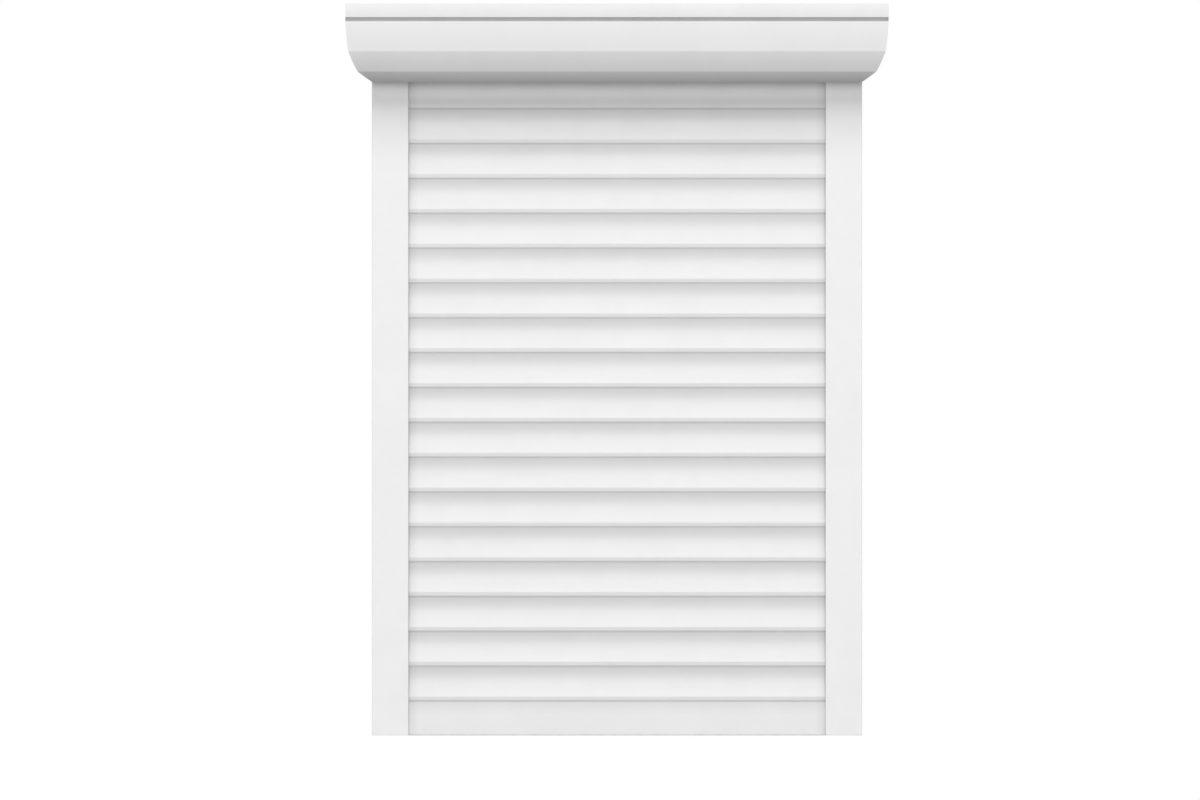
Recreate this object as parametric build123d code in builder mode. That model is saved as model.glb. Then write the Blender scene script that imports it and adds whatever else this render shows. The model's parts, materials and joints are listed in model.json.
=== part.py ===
import os
from math import acos, asin, atan2, cos, degrees, hypot, radians, sin

from build123d import *

# Exterior roller shutter, in millimetres: X to the right, Y towards the wall, Z up.
# The origin is on the wall plane, at sill level, midway between the guides.

os.makedirs("parts", exist_ok=True)

# The whole shutter
guide_span = 1500
guide_height = 2000
guide_width = 112
guide_depth = 46
box_height = 240
box_depth = 245
sheet = 2
seat_gap = 0.3
panel_gap = 0.1
overrun = 5

# Headbox facets, from the lowest up: height of each, how far it leans out and how far it bows
low_facet_height = 32
low_facet_run = 44
low_facet_bow = 1
mid_facet_height = 62
mid_facet_run = 28.5
mid_facet_bow = 1.6
upper_facet_height = 92
upper_facet_run = 9
upper_facet_bow = 1.2
groove_height = 12
groove_depth = 16

# Curtain
slat_pitch = 106.6
bottom_bar_height = 106.6
curtain_depth = 30
slat_reach = 38
face_out = 4.2
lip_in = 2.9
lip_rise = 1.7
lip_height = 12.5
top_face_out = 2.6
face_sagitta = 5.5
back_in = 4.4
back_foot = 1.2
slat_wall = 1
bead_radius = 1.5
bead_gap = 0.3
socket_wall = 1.1
neck_thickness = 1.4
top_drop = 3.4
neck_play_angle = 4
roll_angle = 60
end_lock_thickness = 6

# Top slat and its hangers
top_slat_lip_rise = 2.1
top_slat_roll_angle = 82
rest_tilt = 20
hanger_swing_angle = 30
hanger_width = 40
hanger_thickness = 3
hanger_overlap = 8
hanger_count = 4
hanger_spacing = 320

# Bottom bar
bar_thickness = 12
bar_wall = 2
bar_foot = 4
seal_neck = 4
seal_head_height = 5
seal_head_width = 7

# Winding tube and its drive
tube_depth = 128
tube_rise = 110
tube_sides = 8
tube_flats = 60
tube_wall = 1.5
tube_fit = 0.2
ring_wall = 5
ring_width = 34
idler_room = 58
motor_room = 50
capsule_length = 80
capsule_flange = 4
pin_radius = 6
pin_depth = 60
pin_gap = 4
running_gap = 0.1
motor_radius = 25
motor_length = 570
motor_play = 3
motor_head_radius = 28
motor_head_edge = 1.5
shaft_radius = 8
shaft_depth = 18
wheel_length = 20
wheel_gap = 6
crown_length = 20
crown_flange = 2
rivet_radius = 2.5
rivet_head_radius = 4.5
rivet_head = 1.2
rivet_depth = 5

# Bearing of the idler pin
bearing_width = 10
bearing_pitch_radius = 11
bearing_race_gap = 1.4
bearing_outer_radius = 16
ball_radius = 2.15
race_radius = 2.2
ball_count = 8

# Side plates that carry the tube
head_plate = 4
head_plate_inset = 8
head_plate_clearance = 1
foot_width = 48
foot_height = 3
spigot_depth = 20
spigot_length = 60
holder_size = 80
holder_plate = 4
hub_length = 16
hub_wall = 6
clip_thickness = 2
clip_wall = 3
clip_opening = 25
back_flange = 20
back_flange_thickness = 3
back_flange_height = 180
plate_screw_radius = 2
plate_screw_head_radius = 4
plate_screw_head = 1.6
plate_screw_spacing = 90

# Guides
guide_wall = 3
channel_depth = 46
channel_web = 2.5
channel_back = 14
cover_thickness = 2.5
cover_leg = 13.5
cover_edge_radius = 2
guide_screw_radius = 4.25
guide_screw_inset = 33
guide_screw_foot = 100
guide_screw_spacing = 450
guide_screw_count = 5
plug_thickness = 3
plug_boss_height = 12
seal_width = 6
funnel_height = 22
funnel_flare = 8
funnel_wall = 2

# Panels of the headbox
cover_flange = 22
slot_front = 54
inlet_seal_height = 5
inlet_seal_depth = 10
cover_screw_radius = 2.1
cover_screw_head_radius = 4
cover_screw_head = 1.8
cover_screw_length = 6
cover_screw_count = 5
cover_screw_spacing = 320
screw_play = 0.2
box_screw_radius = 4.5
box_screw_half_span = 600
box_screw_foot = 60
box_screw_rise = 130
outlet_inset = 60
outlet_drop = 50
outlet_radius = 3.5
grommet_wall = 2.5
grommet_flange = 3
grommet_flange_thickness = 1.5

# Places that follow from the sizes above
half_span = guide_span / 2
box_run = low_facet_run + mid_facet_run + upper_facet_run
box_half_width = half_span + box_run
box_foot_depth = box_depth - box_run
box_top = guide_height + box_height
low_crease = guide_height + low_facet_height
mid_crease = low_crease + mid_facet_height
groove_foot = mid_crease + upper_facet_height
lip_foot = groove_foot + groove_height
inner_edge = half_span - guide_width
channel_end = inner_edge + channel_depth
curtain_half_length = inner_edge + slat_reach
slat_half_length = curtain_half_length - end_lock_thickness
slat_count = int((guide_height - bottom_bar_height) / slat_pitch) + 1
curtain_top = bottom_bar_height + slat_count * slat_pitch
plate_out = half_span - head_plate_inset
plate_in = plate_out - head_plate
tube_height = guide_height + tube_rise
ring_radius = tube_flats / 2 + ring_wall
tube_left = -plate_in + idler_room
tube_right = plate_in - motor_room
cover_back = guide_depth - cover_thickness
channel_front = cover_back - channel_web
channel_rear = channel_back + channel_web
tube_axis_plane = Plane((0, -tube_depth, tube_height), x_dir=(0, 1, 0), z_dir=(1, 0, 0))


def bar(low, high, mode=Mode.ADD):
    """A rectangle between two corners, in the sketch that is open."""
    with Locations(((low[0] + high[0]) / 2, (low[1] + high[1]) / 2)):
        Rectangle(high[0] - low[0], high[1] - low[1], mode=mode)


def turned(angle, radius):
    """A point at an angle and a radius, in a side view."""
    return (radius * cos(radians(angle)), radius * sin(radians(angle)))


def facet_levels(inset):
    """Height and run of each crease of the headbox, drawn in by an inset."""
    return [
        (guide_height, -inset),
        (low_crease, low_facet_run - inset),
        (mid_crease, low_facet_run + mid_facet_run - inset),
        (groove_foot, box_run - inset),
        (box_top, box_run - inset),
    ]


facet_bows = [low_facet_bow, mid_facet_bow, upper_facet_bow, 0]


def bowed(low, high, bow):
    """Height and run of a facet's middle, between its creases."""
    return ((low[0] + high[0]) / 2, (low[1] + high[1]) / 2 + bow)


def faceted(inset, rear):
    """The solid within the facets, one bowed slice for each pair of creases."""
    levels = facet_levels(inset)
    with BuildPart() as solid:
        for low, high, bow in zip(levels, levels[1:], facet_bows):
            for height, run in (low, bowed(low, high, bow), high):
                with BuildSketch(Plane.XY.offset(height)):
                    bar((-half_span - run, -box_foot_depth - run), (half_span + run, rear))
            loft(ruled=bow == 0)
    return solid.part


# The faceted skin of the headbox, up to the top panel: front and both ends in one shell,
# which the mitres at the two front corners then cut into the front cover and the end caps
with BuildPart() as box_skin:
    add(faceted(0, 0))
    add(faceted(sheet, overrun), mode=Mode.SUBTRACT)
    with BuildSketch(Plane.XY.offset(box_top - sheet)):
        bar((-box_half_width, -box_depth), (box_half_width, 0))
    extrude(amount=sheet + overrun, mode=Mode.SUBTRACT)

mitre_right = Plane(
    (half_span, -box_foot_depth, 0), x_dir=(1, -1, 0), z_dir=(1, 1, 0)
)
mitre_left = Plane(
    (-half_span, -box_foot_depth, 0), x_dir=(1, 1, 0), z_dir=(-1, 1, 0)
)

upstand_half_width = box_half_width - sheet - seat_gap

# Front cover: the facets, a flange under the box and an upstand behind the top panel's lip
with BuildPart() as box_front_cover:
    add(box_skin.part)
    split(bisect_by=mitre_right, keep=Keep.BOTTOM)
    split(bisect_by=mitre_left, keep=Keep.BOTTOM)
    with BuildSketch(Plane.XY.offset(groove_foot)):
        bar((-box_half_width, -box_depth), (box_half_width, 0))
    extrude(amount=box_height, mode=Mode.SUBTRACT)
    with BuildSketch(Plane.XY.offset(groove_foot - sheet)):
        bar(
            (-upstand_half_width, -box_depth + sheet),
            (upstand_half_width, -box_depth + groove_depth + sheet),
        )
    extrude(amount=sheet)
    with BuildSketch(Plane.XY.offset(groove_foot)):
        bar(
            (-upstand_half_width, -box_depth + groove_depth),
            (upstand_half_width, -box_depth + groove_depth + sheet),
        )
    extrude(amount=box_top - sheet - groove_foot)
    with BuildSketch(Plane.XY.offset(guide_height)):
        bar(
            (-half_span + sheet, -box_foot_depth),
            (half_span - sheet, -box_foot_depth + cover_flange),
        )
    extrude(amount=sheet)
    with Locations((0, -box_foot_depth + cover_flange / 2, guide_height)):
        with GridLocations(cover_screw_spacing, 0, cover_screw_count, 1):
            Cylinder(
                cover_screw_radius + screw_play, 2 * sheet + overrun, mode=Mode.SUBTRACT
            )
box_front_cover.part.label = "box_front_cover"
export_step(box_front_cover.part, "parts/box_front_cover.step")

# End caps: the facets of each end, a flange under the box, cut back for the top panel's lip
with BuildPart() as box_end_cap_right:
    add(box_skin.part)
    split(bisect_by=mitre_right, keep=Keep.TOP)
    with BuildSketch(Plane.XY.offset(guide_height)):
        bar(
            (plate_out, -box_foot_depth + cover_flange),
            (half_span - sheet / 2, -sheet),
        )
    extrude(amount=sheet)
    with BuildSketch(Plane.XY.offset(lip_foot)):
        bar((half_span, -box_depth), (box_half_width, -box_depth + sheet))
    extrude(amount=box_height, mode=Mode.SUBTRACT)
box_end_cap_right.part.label = "box_end_cap_right"
export_step(box_end_cap_right.part, "parts/box_end_cap_right.step")

with BuildPart() as box_end_cap_left:
    mirror(box_end_cap_right.part, about=Plane.YZ)
box_end_cap_left.part.label = "box_end_cap_left"
export_step(box_end_cap_left.part, "parts/box_end_cap_left.step")

# Top panel: a flat plate with a deep front lip that is hemmed back to the cover's upstand
with BuildPart() as box_top_panel:
    with BuildSketch(Plane.XY.offset(box_top - sheet)):
        bar((-box_half_width, -box_depth), (box_half_width, 0))
    extrude(amount=sheet)
    with BuildSketch(Plane.XY.offset(lip_foot)):
        bar((-box_half_width, -box_depth), (box_half_width, -box_depth + sheet))
    extrude(amount=box_top - lip_foot)
    with BuildSketch(Plane.XY.offset(lip_foot)):
        bar(
            (-box_half_width + sheet, -box_depth),
            (box_half_width - sheet, -box_depth + groove_depth),
        )
    extrude(amount=sheet)
box_top_panel.part.label = "box_top_panel"
export_step(box_top_panel.part, "parts/box_top_panel.step")

# Back panel: the outline of the box inside its skin, with wall fixings and the cable outlet
outlet_place = (plate_in - outlet_inset, box_top - outlet_drop)
plate_screw_across = plate_in - back_flange / 2
plate_screw_height = guide_height + box_height / 2
with BuildPart() as box_back_panel:
    with BuildSketch(Plane.XZ):
        with BuildLine():
            levels = facet_levels(sheet + panel_gap)
            levels[-1] = (box_top - sheet, levels[-1][1])
            for side in (-1, 1):
                for low, high, bow in zip(levels, levels[1:], facet_bows):
                    middle = bowed(low, high, bow)
                    corners = [(side * (half_span + run), height) for height, run in (low, middle, high)]
                    if bow:
                        ThreePointArc(*corners)
                    else:
                        Line(corners[0], corners[-1])
            for height, run in (levels[0], levels[-1]):
                Line((-half_span - run, height), (half_span + run, height))
        make_face()
        with Locations((0, guide_height + box_screw_foot + box_screw_rise / 2)):
            with GridLocations(2 * box_screw_half_span, box_screw_rise, 2, 2):
                Circle(box_screw_radius, mode=Mode.SUBTRACT)
        with Locations(outlet_place):
            Circle(outlet_radius + grommet_wall, mode=Mode.SUBTRACT)
        with Locations((0, plate_screw_height)):
            with GridLocations(2 * plate_screw_across, plate_screw_spacing, 2, 2):
                Circle(plate_screw_radius + screw_play, mode=Mode.SUBTRACT)
    extrude(amount=sheet)
box_back_panel.part.label = "box_back_panel"
export_step(box_back_panel.part, "parts/box_back_panel.step")

# Rubber grommet that lines the cable outlet, with a flange on the inside of the panel
outlet_plane = Plane(
    (outlet_place[0], 0, outlet_place[1]), x_dir=(1, 0, 0), z_dir=(0, -1, 0)
)
with BuildPart() as cable_grommet:
    with BuildSketch(outlet_plane):
        Circle(outlet_radius + grommet_wall)
    extrude(amount=sheet)
    with BuildSketch(outlet_plane.offset(sheet)):
        Circle(outlet_radius + grommet_wall + grommet_flange)
    extrude(amount=grommet_flange_thickness)
    with BuildSketch(outlet_plane):
        Circle(outlet_radius)
    extrude(amount=sheet + grommet_flange_thickness, mode=Mode.SUBTRACT)
cable_grommet.part.label = "cable_grommet"
export_step(cable_grommet.part, "parts/cable_grommet.step")

# Bottom panel: lies on the front cover's flange and leaves a slot for the curtain
with BuildPart() as box_bottom_panel:
    with BuildSketch(Plane.XY.offset(guide_height + sheet)):
        bar((-plate_in, -box_foot_depth + sheet), (plate_in, -slot_front))
        with Locations((0, -box_foot_depth + cover_flange / 2)):
            with GridLocations(cover_screw_spacing, 0, cover_screw_count, 1):
                Circle(cover_screw_radius + screw_play, mode=Mode.SUBTRACT)
    extrude(amount=sheet)
box_bottom_panel.part.label = "box_bottom_panel"
export_step(box_bottom_panel.part, "parts/box_bottom_panel.step")

# Soft strip on the bottom panel that closes the slot in front of the curtain
with BuildPart() as inlet_seal:
    with BuildSketch(Plane.XY.offset(guide_height + 2 * sheet)):
        bar(
            (-inner_edge + seal_width, -slot_front - inlet_seal_depth),
            (inner_edge - seal_width, -curtain_depth - face_out - seat_gap),
        )
    extrude(amount=inlet_seal_height)
inlet_seal.part.label = "inlet_seal"
export_step(inlet_seal.part, "parts/inlet_seal.step")

# Screws of the front cover, up through its flange and the bottom panel
with BuildPart() as cover_screws:
    with BuildSketch(Plane.XY.offset(guide_height - cover_screw_head)):
        with Locations((0, -box_foot_depth + cover_flange / 2)):
            with GridLocations(cover_screw_spacing, 0, cover_screw_count, 1):
                Circle(cover_screw_head_radius)
    extrude(amount=cover_screw_head)
    with BuildSketch(Plane.XY.offset(guide_height)):
        with Locations((0, -box_foot_depth + cover_flange / 2)):
            with GridLocations(cover_screw_spacing, 0, cover_screw_count, 1):
                Circle(cover_screw_radius)
    extrude(amount=cover_screw_length)
cover_screws.part.label = "cover_screws"
export_step(cover_screws.part, "parts/cover_screws.step")

# Head plates: side plates inside the end caps that stand on the guides and carry the tube
plate_front = box_foot_depth - sheet - head_plate_clearance
plate_mid_front = plate_front + low_facet_run + mid_facet_run
plate_top_front = box_depth - groove_depth - sheet - head_plate_clearance
plate_shoulder = groove_foot - sheet - head_plate_clearance
with BuildPart() as head_plate_right:
    with BuildSketch(Plane.YZ.offset(plate_in)):
        with BuildLine():
            Polyline(
                [
                    (-sheet, guide_height + sheet),
                    (-plate_front, guide_height + sheet),
                    (-plate_front - low_facet_run, low_crease),
                    (-plate_mid_front, mid_crease),
                    (-plate_mid_front, plate_shoulder),
                    (-plate_top_front, plate_shoulder),
                    (-plate_top_front, box_top - sheet),
                    (-sheet, box_top - sheet),
                ],
                close=True,
            )
        make_face()
    extrude(amount=head_plate)
    with BuildSketch(Plane.XY.offset(guide_height)):
        bar((plate_out - foot_width, -cover_back), (plate_out, -sheet))
    extrude(amount=foot_height)
    with BuildSketch(Plane.XY.offset(guide_height - spigot_length)):
        with Locations(((plate_in + plate_out) / 2, -spigot_depth)):
            Rectangle(head_plate, spigot_depth)
    extrude(amount=spigot_length)
    with BuildSketch(Plane.XZ.offset(sheet)):
        with Locations((plate_screw_across, plate_screw_height)):
            Rectangle(back_flange, back_flange_height)
            with GridLocations(0, plate_screw_spacing, 1, 2):
                Circle(plate_screw_radius + screw_play, mode=Mode.SUBTRACT)
    extrude(amount=back_flange_thickness)
head_plate_right.part.label = "head_plate_right"
export_step(head_plate_right.part, "parts/head_plate_right.step")

with BuildPart() as head_plate_left:
    mirror(head_plate_right.part, about=Plane.YZ)
head_plate_left.part.label = "head_plate_left"
export_step(head_plate_left.part, "parts/head_plate_left.step")

# Screws that hold the head plates to the back panel, flush with the panel behind
with BuildPart() as head_plate_screws:
    with BuildSketch(Plane.XZ):
        with Locations((0, plate_screw_height)):
            with GridLocations(2 * plate_screw_across, plate_screw_spacing, 2, 2):
                Circle(plate_screw_radius)
    extrude(amount=sheet + back_flange_thickness)
    with BuildSketch(Plane.XZ.offset(sheet + back_flange_thickness)):
        with Locations((0, plate_screw_height)):
            with GridLocations(2 * plate_screw_across, plate_screw_spacing, 2, 2):
                Circle(plate_screw_head_radius)
    extrude(amount=plate_screw_head)
head_plate_screws.part.label = "head_plate_screws"
export_step(head_plate_screws.part, "parts/head_plate_screws.step")

# Guide bases: the profiles that are screwed to the wall, each with its slat channel
with BuildPart() as guide_base_right:
    with BuildSketch(Plane.XY.offset(plug_thickness)):
        bar((inner_edge, -guide_wall), (half_span, 0))
        bar((half_span - guide_wall, -cover_back), (half_span, 0))
        bar((inner_edge, -channel_rear), (channel_end + channel_web, -channel_back))
        bar((inner_edge, -channel_rear), (inner_edge + channel_web, 0))
        bar((channel_end, -cover_back), (channel_end + channel_web, 0))
        bar((inner_edge, -cover_back), (channel_end + channel_web, -channel_front))
    extrude(amount=guide_height - plug_thickness)
    with BuildSketch(Plane.XZ):
        top_screw = guide_screw_foot + (guide_screw_count - 1) * guide_screw_spacing
        with Locations((half_span - guide_screw_inset, (guide_screw_foot + top_screw) / 2)):
            with GridLocations(0, guide_screw_spacing, 1, guide_screw_count):
                Circle(guide_screw_radius)
    extrude(amount=guide_wall, mode=Mode.SUBTRACT)
guide_base_right.part.label = "guide_base_right"
export_step(guide_base_right.part, "parts/guide_base_right.step")

with BuildPart() as guide_base_left:
    mirror(guide_base_right.part, about=Plane.YZ)
guide_base_left.part.label = "guide_base_left"
export_step(guide_base_left.part, "parts/guide_base_left.step")

# Guide covers: smooth fronts that clip over the fixings
with BuildPart() as guide_cover_right:
    with BuildSketch(Plane.XY.offset(plug_thickness)):
        bar((inner_edge, -guide_depth), (half_span, -cover_back))
        bar(
            (half_span - guide_wall - cover_thickness, -cover_back),
            (half_span - guide_wall, -cover_back + cover_leg),
        )
        bar(
            (channel_end + channel_web, -cover_back),
            (channel_end + channel_web + cover_thickness, -cover_back + cover_leg),
        )
    extrude(amount=guide_height - plug_thickness)
    front_edges = guide_cover_right.edges().filter_by(Axis.Z).group_by(Axis.Y)[0]
    fillet(front_edges, radius=cover_edge_radius)
guide_cover_right.part.label = "guide_cover_right"
export_step(guide_cover_right.part, "parts/guide_cover_right.step")

with BuildPart() as guide_cover_left:
    mirror(guide_cover_right.part, about=Plane.YZ)
guide_cover_left.part.label = "guide_cover_left"
export_step(guide_cover_left.part, "parts/guide_cover_left.step")

# Plugs that close the guides' lower ends, each with a boss in the screw chamber
with BuildPart() as guide_end_plugs:
    with BuildSketch():
        bar((inner_edge, -guide_depth), (half_span, 0))
        bar((inner_edge, -channel_front), (channel_end, -channel_rear), Mode.SUBTRACT)
    extrude(amount=plug_thickness)
    with BuildSketch(Plane.XY.offset(plug_thickness)):
        bar(
            (channel_end + channel_web + cover_thickness, -cover_back + cover_leg),
            (half_span - guide_wall - cover_thickness, -guide_wall),
        )
    extrude(amount=plug_boss_height)
    mirror(about=Plane.YZ)
guide_end_plugs.part.label = "guide_end_plugs"
export_step(guide_end_plugs.part, "parts/guide_end_plugs.step")

# Soft strips at the mouth of each channel, in front of and behind the slats
curtain_front = curtain_depth + face_out
curtain_rear = curtain_depth - back_in - face_sagitta
with BuildPart() as guide_seals:
    with BuildSketch(Plane.XY.offset(plug_thickness)):
        bar(
            (inner_edge, -channel_front),
            (inner_edge + seal_width, -curtain_front - seat_gap),
        )
        bar(
            (inner_edge, -curtain_rear + seat_gap),
            (inner_edge + seal_width, -channel_rear),
        )
    extrude(amount=guide_height - plug_thickness)
    mirror(about=Plane.YZ)
guide_seals.part.label = "guide_seals"
export_step(guide_seals.part, "parts/guide_seals.step")

# Funnels on the guides that lead the slat ends down into the channels
with BuildPart() as inlet_funnels:
    with BuildSketch(Plane.YZ.offset(inner_edge)):
        with BuildLine():
            Polyline(
                [
                    (-channel_front, guide_height),
                    (-cover_back, guide_height),
                    (-cover_back - funnel_flare, guide_height + funnel_height),
                    (-channel_front - funnel_flare, guide_height + funnel_height),
                ],
                close=True,
            )
        make_face()
        with BuildLine():
            Polyline(
                [
                    (-channel_rear, guide_height),
                    (-channel_back, guide_height),
                    (-channel_back + funnel_flare, guide_height + funnel_height),
                    (-channel_rear + funnel_flare, guide_height + funnel_height),
                ],
                close=True,
            )
        make_face()
    extrude(amount=channel_depth)
    with BuildSketch(Plane.YZ.offset(channel_end)):
        with BuildLine():
            Polyline(
                [
                    (-channel_back, guide_height),
                    (-cover_back, guide_height),
                    (-cover_back - funnel_flare, guide_height + funnel_height),
                    (-channel_back + funnel_flare, guide_height + funnel_height),
                ],
                close=True,
            )
        make_face()
    extrude(amount=funnel_wall)
    mirror(about=Plane.YZ)
inlet_funnels.part.label = "inlet_funnels"
export_step(inlet_funnels.part, "parts/inlet_funnels.step")


def octagon(flats, mode=Mode.ADD):
    """An octagon with level flats at its top and bottom, in the sketch that is open."""
    half_side_angle = 180 / tube_sides
    RegularPolygon(flats / 2, tube_sides, major_radius=False, rotation=half_side_angle, mode=mode)


# Winding tube: octagonal, along X, from the idler end on the left to the motor on the right
bore_flats = tube_flats - 2 * tube_wall
inner_flats = bore_flats - 2 * tube_fit
motor_right = tube_right + crown_flange + motor_play
motor_left = motor_right - motor_length
wheel_right = motor_left - wheel_gap
wheel_left = wheel_right - wheel_length
rivet_stations = [tube_left + capsule_length / 2, (wheel_left + wheel_right) / 2]
top_flat = Plane.XY.offset(tube_height + tube_flats / 2)
rivet_places = [(across, -tube_depth) for across in rivet_stations]
with BuildPart() as rivet_holes:
    with BuildSketch(top_flat.offset(-tube_wall - rivet_depth)):
        with Locations(rivet_places):
            Circle(rivet_radius)
    extrude(amount=tube_wall + rivet_depth)
    mirror(about=Plane.XY.offset(tube_height))

with BuildPart() as octagonal_tube:
    with BuildSketch(tube_axis_plane.offset(tube_left)):
        octagon(tube_flats)
    extrude(amount=tube_right - tube_left)
    with BuildSketch(tube_axis_plane.offset(tube_left)):
        octagon(bore_flats)
    extrude(amount=tube_right - tube_left, mode=Mode.SUBTRACT)
    add(rivet_holes.part, mode=Mode.SUBTRACT)
octagonal_tube.part.label = "octagonal_tube"
export_step(octagonal_tube.part, "parts/octagonal_tube.step")

# Idler capsule: plugs the left end of the tube and holds the pin
pin_left = -plate_in + holder_plate + pin_gap
with BuildPart() as idler_capsule:
    with BuildSketch(tube_axis_plane.offset(tube_left)):
        octagon(inner_flats)
    extrude(amount=capsule_length)
    with BuildSketch(tube_axis_plane.offset(tube_left - capsule_flange)):
        octagon(tube_flats)
    extrude(amount=capsule_flange)
    with BuildSketch(tube_axis_plane.offset(tube_left - capsule_flange)):
        Circle(pin_radius)
    extrude(amount=pin_depth, mode=Mode.SUBTRACT)
    add(rivet_holes.part, mode=Mode.SUBTRACT)
idler_capsule.part.label = "idler_capsule"
export_step(idler_capsule.part, "parts/idler_capsule.step")

with BuildPart() as idler_pin:
    with BuildSketch(tube_axis_plane.offset(pin_left)):
        Circle(pin_radius)
    extrude(amount=tube_left - capsule_flange + pin_depth - pin_left)
idler_pin.part.label = "idler_pin"
export_step(idler_pin.part, "parts/idler_pin.step")

# Ball bearing of the idler pin, with a groove for the balls in both rings
hub_face = -plate_in + holder_plate + hub_length
bearing_plane = tube_axis_plane.offset(hub_face - bearing_width)
bearing_middle = tube_axis_plane.offset(hub_face - bearing_width / 2)
with BuildPart() as race:
    with BuildSketch(Plane.XZ):
        with Locations((bearing_pitch_radius, 0)):
            Circle(race_radius)
    revolve(axis=Axis.Z)
race_groove = bearing_middle * race.part

with BuildPart() as bearing_inner_ring:
    with BuildSketch(bearing_plane):
        Circle(bearing_pitch_radius - bearing_race_gap)
        Circle(pin_radius, mode=Mode.SUBTRACT)
    extrude(amount=bearing_width)
    add(race_groove, mode=Mode.SUBTRACT)
bearing_inner_ring.part.label = "bearing_inner_ring"
export_step(bearing_inner_ring.part, "parts/bearing_inner_ring.step")

with BuildPart() as bearing_outer_ring:
    with BuildSketch(bearing_plane):
        Circle(bearing_outer_radius)
        Circle(bearing_pitch_radius + bearing_race_gap, mode=Mode.SUBTRACT)
    extrude(amount=bearing_width)
    add(race_groove, mode=Mode.SUBTRACT)
bearing_outer_ring.part.label = "bearing_outer_ring"
export_step(bearing_outer_ring.part, "parts/bearing_outer_ring.step")

with BuildPart() as bearing_balls:
    with Locations(bearing_middle):
        with PolarLocations(bearing_pitch_radius, ball_count):
            Sphere(ball_radius)
bearing_balls.part.label = "bearing_balls"
export_step(bearing_balls.part, "parts/bearing_balls.step")

# Bearing holder on the left head plate
with BuildPart() as bearing_holder:
    with BuildSketch(tube_axis_plane.offset(-plate_in)):
        Rectangle(holder_size, holder_size)
    extrude(amount=holder_plate)
    with BuildSketch(tube_axis_plane.offset(-plate_in + holder_plate)):
        Circle(bearing_outer_radius + hub_wall)
        Circle(bearing_outer_radius, mode=Mode.SUBTRACT)
    extrude(amount=hub_length)
bearing_holder.part.label = "bearing_holder"
export_step(bearing_holder.part, "parts/bearing_holder.step")

# Tubular motor: still body and head, with an output shaft that turns the drive wheel
with BuildPart() as motor_tube:
    with BuildSketch(tube_axis_plane.offset(motor_left)):
        Circle(motor_radius)
    extrude(amount=motor_length)
    with BuildSketch(tube_axis_plane.offset(motor_left)):
        Circle(shaft_radius + running_gap)
    extrude(amount=shaft_depth + seat_gap, mode=Mode.SUBTRACT)
motor_tube.part.label = "motor_tube"
export_step(motor_tube.part, "parts/motor_tube.step")

with BuildPart() as motor_head:
    with BuildSketch(tube_axis_plane.offset(motor_right)):
        Circle(motor_head_radius)
    extrude(amount=plate_in - holder_plate - motor_right)
    edges_out = motor_head.edges().filter_by(GeomType.CIRCLE).sort_by(Axis.X)[:1]
    fillet(edges_out, radius=motor_head_edge)
motor_head.part.label = "motor_head"
export_step(motor_head.part, "parts/motor_head.step")

with BuildPart() as motor_shaft:
    with BuildSketch(tube_axis_plane.offset(wheel_left)):
        Circle(shaft_radius)
    extrude(amount=motor_left + shaft_depth - wheel_left)
motor_shaft.part.label = "motor_shaft"
export_step(motor_shaft.part, "parts/motor_shaft.step")

with BuildPart() as drive_wheel:
    with BuildSketch(tube_axis_plane.offset(wheel_left)):
        octagon(inner_flats)
        Circle(shaft_radius, mode=Mode.SUBTRACT)
    extrude(amount=wheel_length)
    add(rivet_holes.part, mode=Mode.SUBTRACT)
drive_wheel.part.label = "drive_wheel"
export_step(drive_wheel.part, "parts/drive_wheel.step")

# Crown that carries the tube's right end round the still motor
with BuildPart() as motor_crown:
    with BuildSketch(tube_axis_plane.offset(tube_right - crown_length)):
        octagon(inner_flats)
    extrude(amount=crown_length)
    with BuildSketch(tube_axis_plane.offset(tube_right)):
        octagon(tube_flats)
    extrude(amount=crown_flange)
    with BuildSketch(tube_axis_plane.offset(tube_right - crown_length)):
        Circle(motor_radius + running_gap)
    extrude(amount=crown_length + crown_flange, mode=Mode.SUBTRACT)
motor_crown.part.label = "motor_crown"
export_step(motor_crown.part, "parts/motor_crown.step")

# Motor bracket on the right head plate, and the open spring clip that keeps the head in it
with BuildPart() as motor_bracket:
    with BuildSketch(tube_axis_plane.offset(plate_in - holder_plate)):
        Rectangle(holder_size, holder_size)
    extrude(amount=holder_plate)
    with BuildSketch(tube_axis_plane.offset(plate_in - holder_plate - hub_length)):
        Circle(motor_head_radius + hub_wall)
        Circle(motor_head_radius, mode=Mode.SUBTRACT)
    extrude(amount=hub_length)
motor_bracket.part.label = "motor_bracket"
export_step(motor_bracket.part, "parts/motor_bracket.step")

with BuildPart() as motor_clip:
    with BuildSketch(
        tube_axis_plane.offset(plate_in - holder_plate - hub_length - clip_thickness)
    ):
        Circle(motor_head_radius + clip_wall)
        Circle(motor_head_radius, mode=Mode.SUBTRACT)
        with Locations((0, -motor_head_radius)):
            Rectangle(clip_opening, clip_opening, mode=Mode.SUBTRACT)
    extrude(amount=clip_thickness)
motor_clip.part.label = "motor_clip"
export_step(motor_clip.part, "parts/motor_clip.step")

# Rivets that fix the capsule and the drive wheel in the tube, at its top and bottom flats
with BuildPart() as tube_rivets:
    add(rivet_holes.part)
    with BuildSketch(top_flat):
        with Locations(rivet_places):
            Circle(rivet_head_radius)
    extrude(amount=rivet_head)
    with BuildSketch(Plane.XY.offset(tube_height - tube_flats / 2)):
        with Locations(rivet_places):
            Circle(rivet_head_radius)
    extrude(amount=-rivet_head)
tube_rivets.part.label = "tube_rivets"
export_step(tube_rivets.part, "parts/tube_rivets.step")

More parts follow.
